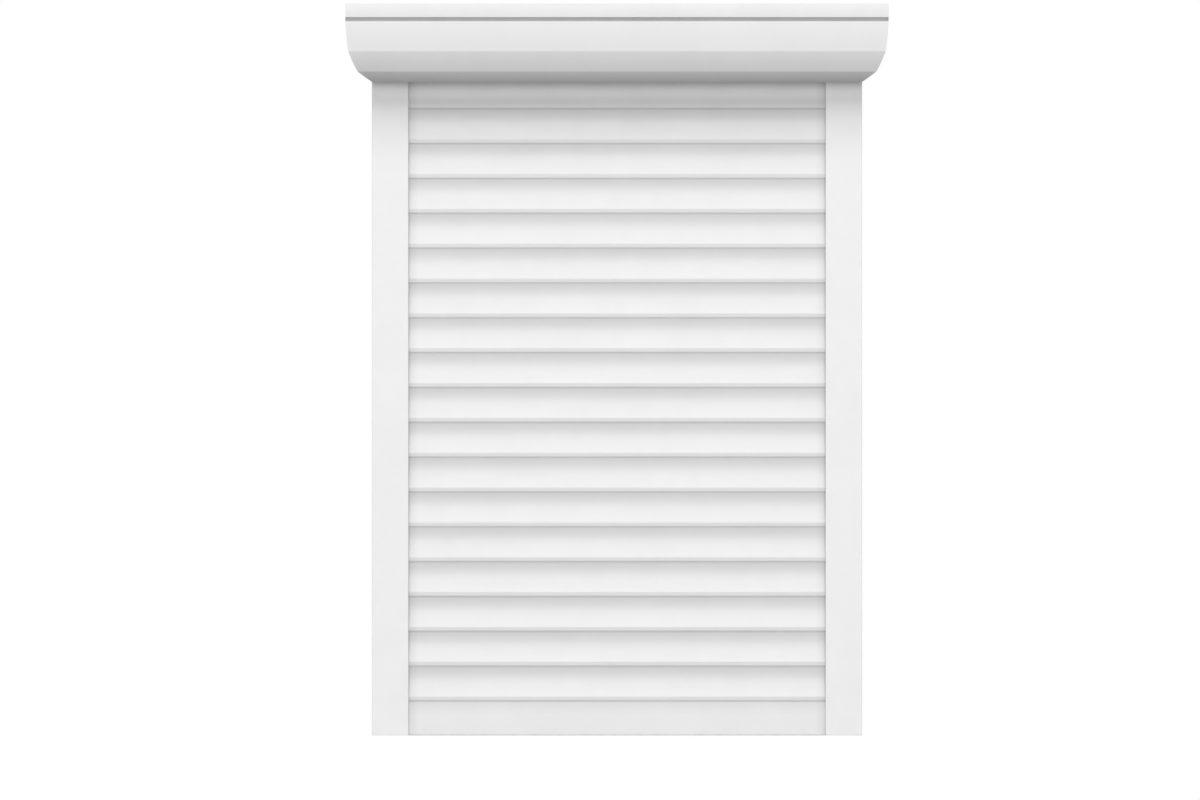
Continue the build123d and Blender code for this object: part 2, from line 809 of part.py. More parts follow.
# Rings on the tube that the hangers lie on
hanger_places = [
    (place - (hanger_count - 1) / 2) * hanger_spacing for place in range(hanger_count)
]
with BuildPart() as hanger_rings:
    for place in hanger_places:
        with BuildSketch(tube_axis_plane.offset(place - ring_width / 2)):
            Circle(ring_radius)
            octagon(tube_flats, Mode.SUBTRACT)
        extrude(amount=ring_width)
hanger_rings.part.label = "hanger_rings"
export_step(hanger_rings.part, "parts/hanger_rings.step")


# Slats: double-walled, hollow to the front, with a bead on top and a socket below.
# A section's first axis points to the wall and its second up, from the centre of the socket.
def slat_outline(rise):
    """The outline of a slat without bead and socket, with the foot of its lip at a height."""
    with BuildSketch() as outline:
        with BuildLine():
            Line((-lip_in, rise), (-face_out, lip_height))
            SagittaArc(
                (-face_out, lip_height), (-top_face_out, slat_pitch - top_drop), -face_sagitta
            )
            Line((-top_face_out, slat_pitch - top_drop), (back_in, slat_pitch - top_drop))
            SagittaArc((back_in, slat_pitch - top_drop), (back_in, back_foot), face_sagitta)
            Line((back_in, back_foot), (-lip_in, rise))
        make_face()
    return outline.sketch


def slat_core(rise):
    """The hollow of a slat, clear of its socket."""
    with BuildSketch() as core:
        add(slat_outline(rise))
        offset(amount=-slat_wall, kind=Kind.INTERSECTION, mode=Mode.REPLACE)
        Circle(bead_radius + bead_gap + socket_wall, mode=Mode.SUBTRACT)
    return core.sketch


def fan(first_angle, last_angle):
    """The wedge that opens a socket for the neck of its bead."""
    reach = 2 * (bead_radius + bead_gap + socket_wall)
    middle = (first_angle + last_angle) / 2
    with BuildSketch() as wedge:
        with BuildLine():
            Polyline(
                [(0, 0), turned(first_angle, reach), turned(middle, reach), turned(last_angle, reach)],
                close=True,
            )
        make_face()
    return wedge.sketch


quarter_turn = 90
down = 3 * quarter_turn
neck_half_angle = degrees(asin(neck_thickness / 2 / (bead_radius + bead_gap)))
neck_clearance_angle = neck_half_angle + neck_play_angle


def slat_section(rise, swing):
    """A slat's section: walls, neck and bead, and a socket that lets its bead swing forwards."""
    with BuildSketch() as section:
        add(slat_outline(rise))
        add(slat_core(rise), mode=Mode.SUBTRACT)
        Circle(bead_radius + bead_gap + socket_wall)
        Circle(bead_radius + bead_gap, mode=Mode.SUBTRACT)
        add(fan(down - swing - neck_clearance_angle, down + neck_clearance_angle), mode=Mode.SUBTRACT)
        bar((-neck_thickness / 2, slat_pitch - top_drop - slat_wall), (neck_thickness / 2, slat_pitch))
        with Locations((0, slat_pitch)):
            Circle(bead_radius)
    return section.sketch


def hinge_plane(across, height, tilt=0):
    """A side view plane at a socket's centre, tilted towards the front."""
    toward_wall = (0, cos(radians(tilt)), sin(radians(tilt)))
    return Plane((across, -curtain_depth, height), x_dir=toward_wall, z_dir=(1, 0, 0))


slat_feet = [bottom_bar_height + number * slat_pitch for number in range(slat_count)]
skin_section = slat_section(lip_rise, roll_angle)
for number, foot in enumerate(slat_feet, start=1):
    with BuildPart() as slat:
        with BuildSketch(hinge_plane(-slat_half_length, foot)):
            add(skin_section)
        extrude(amount=2 * slat_half_length)
    slat.part.label = f"slat_{number:02d}"
    export_step(slat.part, f"parts/slat_{number:02d}.step")

# Foam cores inside the slats
core_section = slat_core(lip_rise)
with BuildPart() as slat_cores:
    for foot in slat_feet:
        with BuildSketch(hinge_plane(-slat_half_length, foot)):
            add(core_section)
        extrude(amount=2 * slat_half_length)
slat_cores.part.label = "slat_cores"
export_step(slat_cores.part, "parts/slat_cores.step")

# End locks: plugs on both ends of each slat that keep the slats in line
lock_section = slat_outline(lip_rise)
with BuildPart() as end_locks:
    for foot in slat_feet:
        with BuildSketch(hinge_plane(slat_half_length, foot)):
            add(lock_section)
        extrude(amount=end_lock_thickness)
    mirror(about=Plane.YZ)
end_locks.part.label = "end_locks"
export_step(end_locks.part, "parts/end_locks.step")

# Bottom bar: a flat hollow profile with a groove for its seal
bar_front = -curtain_depth - face_out
bar_rear = bar_front + bar_thickness
bar_middle = (bar_front + bar_rear) / 2
groove_top = bar_foot + bar_wall + seal_head_height
with BuildPart() as bottom_bar:
    with BuildSketch(Plane.YZ.offset(-slat_half_length)):
        bar((bar_front, bar_foot), (bar_rear, bottom_bar_height - top_drop))
        bar(
            (bar_front + bar_wall, groove_top + bar_wall),
            (bar_rear - bar_wall, bottom_bar_height - top_drop - bar_wall),
            Mode.SUBTRACT,
        )
        bar(
            (bar_middle - seal_head_width / 2, bar_foot + bar_wall),
            (bar_middle + seal_head_width / 2, groove_top),
            Mode.SUBTRACT,
        )
        bar(
            (bar_middle - seal_neck / 2, bar_foot),
            (bar_middle + seal_neck / 2, groove_top),
            Mode.SUBTRACT,
        )
        bar(
            (-curtain_depth - neck_thickness / 2, bottom_bar_height - top_drop - bar_wall),
            (-curtain_depth + neck_thickness / 2, bottom_bar_height),
        )
        with Locations((-curtain_depth, bottom_bar_height)):
            Circle(bead_radius)
    extrude(amount=2 * slat_half_length)
bottom_bar.part.label = "bottom_bar"
export_step(bottom_bar.part, "parts/bottom_bar.step")

# Rubber seal under the bottom bar: head in the groove, neck, and the foot on the sill
with BuildPart() as bottom_seal:
    with BuildSketch(Plane.YZ.offset(-slat_half_length)):
        bar(
            (bar_middle - seal_head_width / 2, bar_foot + bar_wall),
            (bar_middle + seal_head_width / 2, groove_top),
        )
        bar(
            (bar_middle - seal_neck / 2, 0),
            (bar_middle + seal_neck / 2, bar_foot + bar_wall),
        )
        bar((bar_front, 0), (bar_rear, bar_foot))
    extrude(amount=2 * slat_half_length)
bottom_seal.part.label = "bottom_seal"
export_step(bottom_seal.part, "parts/bottom_seal.step")

# Caps on the bottom bar's ends
with BuildPart() as bottom_bar_caps:
    with BuildSketch(Plane.YZ.offset(slat_half_length)):
        bar((bar_front, 0), (bar_rear, bottom_bar_height - top_drop))
    extrude(amount=end_lock_thickness)
    mirror(about=Plane.YZ)
bottom_bar_caps.part.label = "bottom_bar_caps"
export_step(bottom_bar_caps.part, "parts/bottom_bar_caps.step")

# Top slat: lies in the headbox, tilted forwards, with a shorter lip so that it folds further
with BuildPart() as top_slat:
    with BuildSketch(hinge_plane(-slat_half_length, curtain_top, rest_tilt)):
        add(slat_section(top_slat_lip_rise, top_slat_roll_angle))
    extrude(amount=2 * slat_half_length)
top_slat.part.label = "top_slat"
export_step(top_slat.part, "parts/top_slat.step")

# Hangers: links hooked on the top slat's bead that lie on the tube's rings
top_bead = (
    -curtain_depth - slat_pitch * sin(radians(rest_tilt)),
    curtain_top + slat_pitch * cos(radians(rest_tilt)),
)
bead_offset = (top_bead[0] + tube_depth, top_bead[1] - tube_height)
bead_distance = hypot(*bead_offset)
lie_radius = ring_radius + seat_gap + hanger_thickness / 2
lie_angle = degrees(atan2(bead_offset[1], bead_offset[0]) + acos(lie_radius / bead_distance))
link_angle = lie_angle + quarter_turn
link_length = bead_distance * sin(acos(lie_radius / bead_distance)) + hanger_overlap
link_toward = (0, *turned(link_angle, 1))
neck_direction = down + rest_tilt - link_angle
with BuildPart() as hanger_links:
    for place in hanger_places:
        link_plane = Plane(
            (place - hanger_width / 2, *top_bead), x_dir=link_toward, z_dir=(1, 0, 0)
        )
        with BuildSketch(link_plane):
            bar((0, -hanger_thickness / 2), (link_length, hanger_thickness / 2))
            Circle(bead_radius + bead_gap + socket_wall)
            Circle(bead_radius + bead_gap, mode=Mode.SUBTRACT)
            add(
                fan(
                    neck_direction - hanger_swing_angle - neck_clearance_angle,
                    neck_direction + neck_clearance_angle,
                ),
                mode=Mode.SUBTRACT,
            )
        extrude(amount=hanger_width)
hanger_links.part.label = "hanger_links"
export_step(hanger_links.part, "parts/hanger_links.step")
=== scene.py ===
import json
from math import cos, pi, radians, sin

import bmesh
import bpy
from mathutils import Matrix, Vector


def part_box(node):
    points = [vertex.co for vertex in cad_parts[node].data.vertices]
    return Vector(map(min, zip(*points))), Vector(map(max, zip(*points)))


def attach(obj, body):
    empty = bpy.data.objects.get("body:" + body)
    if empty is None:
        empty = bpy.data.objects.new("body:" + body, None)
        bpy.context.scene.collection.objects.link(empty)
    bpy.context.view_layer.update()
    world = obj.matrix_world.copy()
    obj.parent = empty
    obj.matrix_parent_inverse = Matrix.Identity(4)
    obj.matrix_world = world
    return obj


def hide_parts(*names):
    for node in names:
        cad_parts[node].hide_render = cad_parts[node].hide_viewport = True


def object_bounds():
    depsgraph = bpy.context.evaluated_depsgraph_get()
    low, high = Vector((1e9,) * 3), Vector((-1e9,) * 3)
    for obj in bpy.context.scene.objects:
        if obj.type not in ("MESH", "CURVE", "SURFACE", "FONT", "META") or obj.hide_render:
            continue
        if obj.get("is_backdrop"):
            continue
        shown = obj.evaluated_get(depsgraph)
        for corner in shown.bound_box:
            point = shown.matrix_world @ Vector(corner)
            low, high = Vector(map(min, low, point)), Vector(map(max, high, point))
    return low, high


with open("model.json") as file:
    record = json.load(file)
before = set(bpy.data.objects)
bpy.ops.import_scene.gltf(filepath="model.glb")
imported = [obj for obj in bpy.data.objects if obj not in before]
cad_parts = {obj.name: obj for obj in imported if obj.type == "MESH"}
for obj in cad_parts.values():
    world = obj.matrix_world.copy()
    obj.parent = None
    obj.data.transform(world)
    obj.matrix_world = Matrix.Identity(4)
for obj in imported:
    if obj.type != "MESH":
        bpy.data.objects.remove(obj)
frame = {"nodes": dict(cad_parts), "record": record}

# Exterior roller shutter in metres: X to the right, Y towards the wall, Z up.

cad_low, cad_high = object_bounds()
scene = bpy.context.scene
nodes = frame["nodes"]
mm = 0.001

# The photograph: its frame, what one pixel covers and where the shutter's middle lies in it
PHOTO_WIDTH, PHOTO_HEIGHT = 1200, 800
PIXEL = 3.06 * mm
MIDDLE_PIXEL_X, MIDDLE_PIXEL_Y = 617, 369.5


# Materials: every one is a node tree on object coordinates, so that it rides with its piece
def new_material(name, color, roughness, metallic=0.0, coat=0.0):
    """A material with its uniform values on the shader, and the parts that a finish adds to."""
    material = bpy.data.materials.new(name)
    material.use_nodes = True
    tree = material.node_tree
    shader = tree.nodes["Principled BSDF"]
    shader.inputs["Base Color"].default_value = (*color, 1)
    shader.inputs["Roughness"].default_value = roughness
    shader.inputs["Metallic"].default_value = metallic
    shader.inputs["Coat Weight"].default_value = coat
    material.diffuse_color = (*color, 1)
    return material, tree, shader


def place(tree, scale=(1, 1, 1)):
    """Object coordinates, stretched by a scale along each axis."""
    coordinates = tree.nodes.new("ShaderNodeTexCoord")
    mapping = tree.nodes.new("ShaderNodeMapping")
    mapping.inputs["Scale"].default_value = scale
    tree.links.new(coordinates.outputs["Object"], mapping.inputs["Vector"])
    return mapping.outputs["Vector"]


def noise(tree, vector, texture):
    """One of the noise textures."""
    node = tree.nodes.new("ShaderNodeTexNoise")
    names = ("Scale", "Detail", "Roughness")
    for name, value in zip(names, TEXTURES[texture]):
        node.inputs[name].default_value = value
    tree.links.new(vector, node.inputs["Vector"])
    return node.outputs["Fac"]


def cells(tree, vector, scale):
    """Voronoi cells of a scale per metre."""
    node = tree.nodes.new("ShaderNodeTexVoronoi")
    node.inputs["Scale"].default_value = scale
    tree.links.new(vector, node.inputs["Vector"])
    return node


def ramp(tree, value, stops):
    """A colour ramp over a value, with stops of position and colour."""
    node = tree.nodes.new("ShaderNodeValToRGB")
    elements = node.color_ramp.elements
    while len(elements) < len(stops):
        elements.new(1)
    for element, (position, color) in zip(elements, stops):
        element.position = position
        element.color = (*color, 1)
    tree.links.new(value, node.inputs["Fac"])
    return node.outputs["Color"]


def tinted(tree, value, color, tones):
    """A colour in one of the sets of tones, spread over a value."""
    return ramp(tree, value, [(position, shade(color, tone)) for position, tone in TONES[tones]])


def spread(tree, value, low, high):
    """A value between 0 and 1 spread over a range."""
    node = tree.nodes.new("ShaderNodeMapRange")
    node.inputs["To Min"].default_value = low
    node.inputs["To Max"].default_value = high
    tree.links.new(value, node.inputs["Value"])
    return node.outputs["Result"]


def bump(tree, shader, layers):
    """Bumps laid over each other, each a name and its height."""
    normal = None
    for name, height in layers:
        node = tree.nodes.new("ShaderNodeBump")
        node.inputs["Strength"].default_value = 1
        node.inputs["Distance"].default_value = DEPTHS[name]
        tree.links.new(height, node.inputs["Height"])
        if normal:
            tree.links.new(normal, node.inputs["Normal"])
        normal = node.outputs["Normal"]
    tree.links.new(normal, shader.inputs["Normal"])


def shade(color, factor):
    """A colour made lighter or darker."""
    return tuple(min(channel * factor, 1) for channel in color)


def own_place(tree):
    """The place of a point on its own piece, as three numbers."""
    coordinates = tree.nodes.new("ShaderNodeTexCoord")
    parts = tree.nodes.new("ShaderNodeSeparateXYZ")
    tree.links.new(coordinates.outputs["Object"], parts.inputs["Vector"])
    return parts


def measured(tree, operation, value, number=0):
    """One step of arithmetic on a value."""
    node = tree.nodes.new("ShaderNodeMath")
    node.operation = operation
    tree.links.new(value, node.inputs[0])
    node.inputs[1].default_value = number
    return node.outputs[0]


def combined(tree, operation, first, second):
    """One step of arithmetic on two values."""
    node = tree.nodes.new("ShaderNodeMath")
    node.operation = operation
    tree.links.new(first, node.inputs[0])
    tree.links.new(second, node.inputs[1])
    return node.outputs[0]


def paint_shade(tree, shade_tones, where=None):
    """The finish's own colour, darkened by painted shade, all over or only where a value is 1."""
    base = tree.nodes["Principled BSDF"].inputs["Base Color"]
    node = tree.nodes.new("ShaderNodeMix")
    node.data_type = "RGBA"
    node.blend_type = "MULTIPLY"
    node.inputs["Factor"].default_value = 1
    tree.links.new(base.links[0].from_socket, node.inputs["A"])
    tree.links.new(shade_tones, node.inputs["B"])
    if where:
        tree.links.new(where, node.inputs["Factor"])
    tree.links.new(node.outputs["Result"], base)


def box_coat(name, color, stretch):
    """The box's coat, with painted shade in its groove and painted shade that darkens its lower facets and
    its lip towards their feet.
    """
    material = painted(name, color, stretch)
    tree = material.node_tree
    parts = own_place(tree)
    # Painted shade in the groove: its rear wall is darkened where shade falls
    from_groove = measured(tree, "ABSOLUTE", measured(tree, "SUBTRACT", parts.outputs["Z"], GROOVE_MIDDLE))
    in_groove = [measured(tree, "LESS_THAN", from_groove, GROOVE_HALF),
                 measured(tree, "LESS_THAN", parts.outputs["Y"], GROOVE_WALL),
                 measured(tree, "LESS_THAN", measured(tree, "ABSOLUTE", parts.outputs["X"]), GROOVE_END)]
    groove_shaded = in_groove[0]
    for condition in in_groove[1:]:
        groove_shaded = combined(tree, "MULTIPLY", groove_shaded, condition)
    paint_shade(tree, ramp(tree, groove_shaded, [(0, UNSHADED), (1, GROOVE_PAINTED_SHADE)]))
    # Painted shade over the front: the lower facets and the lip are darker towards their feet
    height = measured(tree, "DIVIDE", measured(tree, "SUBTRACT", parts.outputs["Z"], BOX_FOOT), BOX_HEIGHT)
    for tones, rear in ((FACET_SHADE_TONES, WALL_SIDE), (LIP_SHADE_TONES, LIP_REAR)):
        stops = [(share, (tone, tone, tone)) for share, tone in tones]
        paint_shade(tree, ramp(tree, height, stops), measured(tree, "LESS_THAN", parts.outputs["Y"], rear))
    return material


def slat_coat(name, color, stretch):
    """The slats' coat, with painted shade in each joint, over the top of each slat and beside the guides."""
    material = painted(name, color, stretch)
    tree = material.node_tree
    parts = own_place(tree)
    # Painted shade in each joint and over the top of each slat, under the lip of the slat above
    above_joint = measured(tree, "FRACT", measured(tree, "DIVIDE", parts.outputs["Z"], SLAT_PITCH))
    paint_shade(tree, ramp(tree, above_joint, JOINT_SHADE_STOPS))
    # Painted shade beside the guides, where the guides' shadow falls on the slats
    from_middle = measured(tree, "ABSOLUTE", parts.outputs["X"])
    paint_shade(tree, ramp(tree, from_middle, GUIDE_SHADE_STOPS))
    return material


def painted(name, color, stretch):
    """Satin powder coat: a fine orange peel, the profile's draw lines and a little dust."""
    material, tree, shader = new_material(name, color, COAT_ROUGHNESS, coat=COAT_GLOSS)
    shader.inputs["Coat Roughness"].default_value = COAT_GLOSS_ROUGHNESS
    even = place(tree)
    drawn = place(tree, stretch)
    tree.links.new(tinted(tree, noise(tree, even, "dust"), color, "coat"), shader.inputs["Base Color"])
    wear = spread(tree, noise(tree, even, "wear"), *COAT_ROUGHNESS_RANGE)
    tree.links.new(wear, shader.inputs["Roughness"])
    bump(tree, shader, [("orange_peel", noise(tree, even, "orange_peel")),
                        ("draw_lines", noise(tree, drawn, "draw_lines"))])
    return material


def galvanised(name, color):
    """Zinc with its spangle: crystals of slightly different grey, and a fine grain."""
    material, tree, shader = new_material(name, color, ZINC_ROUGHNESS, metallic=1)
    even = place(tree)
    spangle = cells(tree, even, SPANGLE_SCALE)
    crystal = tree.nodes.new("ShaderNodeSeparateColor")
    tree.links.new(spangle.outputs["Color"], crystal.inputs["Color"])
    value = crystal.outputs["Red"]
    tree.links.new(tinted(tree, value, color, "zinc"), shader.inputs["Base Color"])
    tree.links.new(spread(tree, value, *ZINC_ROUGHNESS_RANGE), shader.inputs["Roughness"])
    bump(tree, shader, [("spangle", spangle.outputs["Distance"]),
                        ("zinc_grain", noise(tree, even, "zinc_grain"))])
    return material


def machined(name, color, roughness):
    """Turned or drawn steel: fine marks round the X axis."""
    material, tree, shader = new_material(name, color, roughness, metallic=1)
    marks = noise(tree, place(tree, ROUND_X), "turning_marks")
    tree.links.new(tinted(tree, marks, color, "steel"), shader.inputs["Base Color"])
    low, high = [roughness * share for share in STEEL_ROUGHNESS_SHARES]
    tree.links.new(spread(tree, marks, low, high), shader.inputs["Roughness"])
    bump(tree, shader, [("turning_marks", marks)])
    return material


def moulded(name, color, roughness):
    """Moulded plastic: a spark-eroded grain and soft flow marks."""
    material, tree, shader = new_material(name, color, roughness)
    even = place(tree)
    flow = noise(tree, even, "flow_marks")
    tree.links.new(tinted(tree, flow, color, "plastic"), shader.inputs["Base Color"])
    grain = noise(tree, even, "spark_grain")
    low, high = [roughness * share for share in PLASTIC_ROUGHNESS_SHARES]
    tree.links.new(spread(tree, grain, low, high), shader.inputs["Roughness"])
    bump(tree, shader, [("spark_grain", grain)])
    return material


def soft(name, color, stretch):
    """Soft extruded rubber with fine lines along its run and a bloom."""
    material, tree, shader = new_material(name, color, RUBBER_ROUGHNESS)
    shader.inputs["Sheen Weight"].default_value = RUBBER_SHEEN
    lines = noise(tree, place(tree, stretch), "extrusion_lines")
    bloom = noise(tree, place(tree), "bloom")
    tree.links.new(tinted(tree, bloom, color, "rubber"), shader.inputs["Base Color"])
    tree.links.new(spread(tree, lines, *RUBBER_ROUGHNESS_RANGE), shader.inputs["Roughness"])
    bump(tree, shader, [("extrusion_lines", lines)])
    return material


def foamed(name, color):
    """Rigid foam: fine open cells under a thin skin."""
    material, tree, shader = new_material(name, color, FOAM_ROUGHNESS)
    even = place(tree)
    pores = cells(tree, even, PORE_SCALE).outputs["Distance"]
    tree.links.new(tinted(tree, pores, color, "foam"), shader.inputs["Base Color"])
    bump(tree, shader, [("pores", pores), ("foam_waves", noise(tree, even, "foam_waves"))])
    return material


# Noise textures: features per metre, levels of detail, and how strong the finer levels are
TEXTURES = {
    "dust": (7, 5, 0.6),
    "wear": (24, 4, 0.5),
    "orange_peel": (1100, 1, 0.5),
    "draw_lines": (150, 3, 0.5),
    "zinc_grain": (1500, 2, 0.5),
    "turning_marks": (60, 3, 0.5),
    "flow_marks": (16, 4, 0.5),
    "spark_grain": (900, 2, 0.5),
    "extrusion_lines": (220, 3, 0.5),
    "bloom": (30, 5, 0.5),
    "foam_waves": (60, 2, 0.5),
}
SPANGLE_SCALE, PORE_SCALE = 95, 700
DEPTHS = {
    "orange_peel": 0.012 * mm,
    "draw_lines": 0.02 * mm,
    "spangle": 0.03 * mm,
    "zinc_grain": 0.01 * mm,
    "turning_marks": 0.01 * mm,
    "spark_grain": 0.03 * mm,
    "extrusion_lines": 0.04 * mm,
    "pores": 0.2 * mm,
    "foam_waves": 0.2 * mm,
}
# Tones of a colour: where each lies on the texture, and how light it is
TONES = {
    "coat": [(0.3, 0.975), (0.62, 1)],
    "zinc": [(0, 0.86), (1, 1.08)],
    "steel": [(0.3, 0.9), (0.7, 1)],
    "plastic": [(0.3, 0.94), (0.7, 1.02)],
    "rubber": [(0.3, 0.9), (0.7, 1.08)],
    "foam": [(0.1, 0.8), (0.5, 1)],
}
COAT_ROUGHNESS, COAT_ROUGHNESS_RANGE = 0.42, (0.36, 0.5)
COAT_GLOSS, COAT_GLOSS_ROUGHNESS = 0.08, 0.25
ZINC_ROUGHNESS, ZINC_ROUGHNESS_RANGE = 0.38, (0.42, 0.6)
RUBBER_ROUGHNESS, RUBBER_ROUGHNESS_RANGE, RUBBER_SHEEN = 0.7, (0.6, 0.8), 0.15
STEEL_ROUGHNESS_SHARES, PLASTIC_ROUGHNESS_SHARES = (0.8, 1.3), (0.85, 1.2)
FOAM_ROUGHNESS = 0.85
ROUND_X = (40, 1, 1)

# The slats' pitch, and the shares of it where a joint's lip and its painted shade end, where the painted
# shade below the next joint fades in and where that joint lies
SLAT_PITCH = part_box("slat_02")[0].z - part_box("slat_01")[0].z
JOINT_LIP_SHARE, LIP_EDGE_SHARE = 0.016, 0.02
FADE_SHARE, JOINT_NEAR_SHARE, JOINT_TOP_SHARE = 0.6, 0.948, 0.968
# Tones of painted shade: none, faint, in a joint and in the box's groove
UNSHADED, FAINT_PAINTED_SHADE, JOINT_PAINTED_SHADE, GROOVE_PAINTED_SHADE = [
    (tone, tone, tone) for tone in (1, 0.9, 0.76, 0.66)
]
JOINT_SHADE_STOPS = [(0, JOINT_PAINTED_SHADE), (JOINT_LIP_SHARE, JOINT_PAINTED_SHADE), (LIP_EDGE_SHARE, UNSHADED),
               (FADE_SHARE, UNSHADED), (JOINT_NEAR_SHARE, FAINT_PAINTED_SHADE), (JOINT_TOP_SHARE, JOINT_PAINTED_SHADE)]
# Painted shade beside the guides, where their shadow falls, by its distance from the mouth of a guide
GUIDE_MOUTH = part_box("guide_base_right")[0].x
GUIDE_SHADE_STOPS = [(GUIDE_MOUTH - 30 * mm, UNSHADED), (GUIDE_MOUTH - 8 * mm, FAINT_PAINTED_SHADE), (GUIDE_MOUTH, JOINT_PAINTED_SHADE)]
# The groove along the box's front, darkened by painted shade: the middle and half of its height, its rear
# wall and its ends
GROOVE_MIDDLE, GROOVE_HALF, GROOVE_WALL, GROOVE_END = 2.192, 6.1 * mm, -0.2285, 0.831
# Painted shade over the box's height, as tones for the lowest facet, the middle one and the upper one, then
# the lip: the lower facets and the lip darken towards their feet
BOX_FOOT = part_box("box_front_cover")[0].z
BOX_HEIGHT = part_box("box_top_panel")[1].z - BOX_FOOT
WALL_SIDE, LIP_REAR = -4 * mm, -0.2425
FACET_SHADE_TONES = [(0, 0.58), (0.132, 0.9), (0.134, 0.9), (0.39, 0.99), (0.394, 1)]
LIP_SHADE_TONES = [(0.824, 1), (0.826, 0.88), (0.97, 1)]

# Every material slot: the kind of finish, its colour, and its roughness or how its lines are stretched
BOX_WHITE, SLAT_WHITE = (0.9, 0.9, 0.9), (0.86, 0.86, 0.86)
ACROSS, UPRIGHT = (0.02, 1, 1), (1, 1, 0.02)
SLOTS = {
    "box_paint": (box_coat, BOX_WHITE, ACROSS),
    "guide_paint": (painted, BOX_WHITE, UPRIGHT),
    "slat_paint": (slat_coat, SLAT_WHITE, ACROSS),
    "white_plastic": (moulded, (0.84, 0.84, 0.84), 0.5),
    "grey_plastic": (moulded, (0.22, 0.23, 0.24), 0.55),
    "black_plastic": (moulded, (0.03, 0.03, 0.032), 0.5),
    "galvanised_steel": (galvanised, (0.62, 0.63, 0.64)),
    "bearing_steel": (machined, (0.72, 0.72, 0.73), 0.18),
    "fastener_steel": (machined, (0.66, 0.66, 0.67), 0.32),
    "motor_paint": (painted, (0.72, 0.73, 0.74), ACROSS),
    "soft_strip": (soft, (0.4, 0.4, 0.41), UPRIGHT),
    "foam": (foamed, (0.85, 0.8, 0.62)),
    "seal_rubber": (soft, (0.72, 0.72, 0.72), ACROSS),
    "black_rubber": (soft, (0.03, 0.03, 0.03), ACROSS),
}
finishes = {name: kind(name, *values) for name, (kind, *values) in SLOTS.items()}


def finish(piece, slot_name):
    """Gives a piece the finish of a material slot."""
    piece.data.materials.clear()
    piece.data.materials.append(finishes[slot_name])


def soften(piece, width):
    """Rounds a piece's sharp edges by a small radius."""
    modifier = piece.modifiers.new("rounded_edges", "BEVEL")
    modifier.width = width
    modifier.segments = EDGE_SEGMENTS
    modifier.limit_method = "ANGLE"
    modifier.angle_limit = EDGE_ANGLE
    modifier.harden_normals = True


for part in frame["record"]["subparts"]:
    finish(nodes[part["node"]], part["material_slot"])


# Edges that sheet and mouldings have rounded
EDGE_SEGMENTS, EDGE_ANGLE = 2, radians(25)
SHEET_EDGE, PLASTIC_EDGE, STEEL_EDGE = 0.45 * mm, 0.5 * mm, 0.3 * mm
edge_radii = {
    "box_paint": SHEET_EDGE,
    "guide_paint": STEEL_EDGE,
    "white_plastic": PLASTIC_EDGE,
    "grey_plastic": PLASTIC_EDGE,
    "black_plastic": PLASTIC_EDGE,
    "galvanised_steel": STEEL_EDGE,
}
for part in frame["record"]["subparts"]:
    if part["material_slot"] in edge_radii:
        soften(nodes[part["node"]], edge_radii[part["material_slot"]])


# Detailed pieces that stand for plain CAD nodes
SHARP_ANGLE = radians(35)
ROUND_SIDES = 32


def new_piece(name, build, body, slot_name, *stands_for):
    """A piece whose mesh a function builds, riding on a body in place of CAD nodes."""
    form = bmesh.new()
    build(form)
    bmesh.ops.recalc_face_normals(form, faces=form.faces)
    mesh = bpy.data.meshes.new(name)
    form.to_mesh(mesh)
    form.free()
    piece = bpy.data.objects.new(name, mesh)
    scene.collection.objects.link(piece)
    finish(piece, slot_name)
    mesh.shade_smooth()
    mesh.set_sharp_from_angle(angle=SHARP_ANGLE)
    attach(piece, body)
    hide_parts(*stands_for)
    return piece


def lathe(form, profile, foot, up):
    """Turns a profile of (radius, height) round an axis that runs from a foot along a direction."""
    frame_up = Vector(up).normalized()
    right = frame_up.orthogonal().normalized()
    forward = frame_up.cross(right)
    rings = []
    for radius, height in profile:
        centre = Vector(foot) + frame_up * height
        if radius == 0:
            rings.append([form.verts.new(centre)])
            continue
        angles = [2 * pi * side / ROUND_SIDES for side in range(ROUND_SIDES)]
        rings.append(
            [form.verts.new(centre + (right * cos(a) + forward * sin(a)) * radius) for a in angles]
        )
    for low_ring, high_ring in zip(rings, rings[1:]):
        for side in range(ROUND_SIDES):
            after = (side + 1) % ROUND_SIDES
            corners = []
            for ring, order in ((low_ring, (side, after)), (high_ring, (after, side))):
                corners += [ring[0]] if len(ring) == 1 else [ring[k] for k in order]
            form.faces.new(corners)
    for ring in (rings[0], rings[-1]):
        if len(ring) > 1:
            form.faces.new(ring)


def extruded(form, outline, along):
    """A closed outline of points, drawn out along a vector."""
    near = [form.verts.new(point) for point in outline]
    far = [form.verts.new(Vector(point) + along) for point in outline]
    count = len(outline)
    form.faces.new(near)
    form.faces.new(list(reversed(far)))
    for k in range(count):
        form.faces.new([near[k], near[(k + 1) % count], far[(k + 1) % count], far[k]])


def spaced(first, last, count):
    """Evenly spaced values from the first to the last."""
    return [first + (last - first) * k / (count - 1) for k in range(count)]


# A thread's root and crest along its pitch, and its pitch and depth as shares of the shank's radius
ROOT_SHARE, CREST_SHARE = 0.2, 0.6
THREAD_PITCH_SHARE, THREAD_DEPTH_SHARE = 0.55, 0.14
# A cross recess: width, length and depth as shares of the head, and how far its ends widen and narrow
CROSS_WIDTH_SHARE, CROSS_LENGTH_SHARE, CROSS_DEPTH_SHARE = 0.26, 1.15, 0.7
CROSS_ENDS = ((0.5, 1.1), (-1, 0.45))
CORNERS = ((1, 1), (-1, 1), (-1, -1), (1, -1))
BLOCK_FACES = ((0, 1, 2, 3), (7, 6, 5, 4), (0, 4, 5, 1), (1, 5, 6, 2), (2, 6, 7, 3), (3, 7, 4, 0))
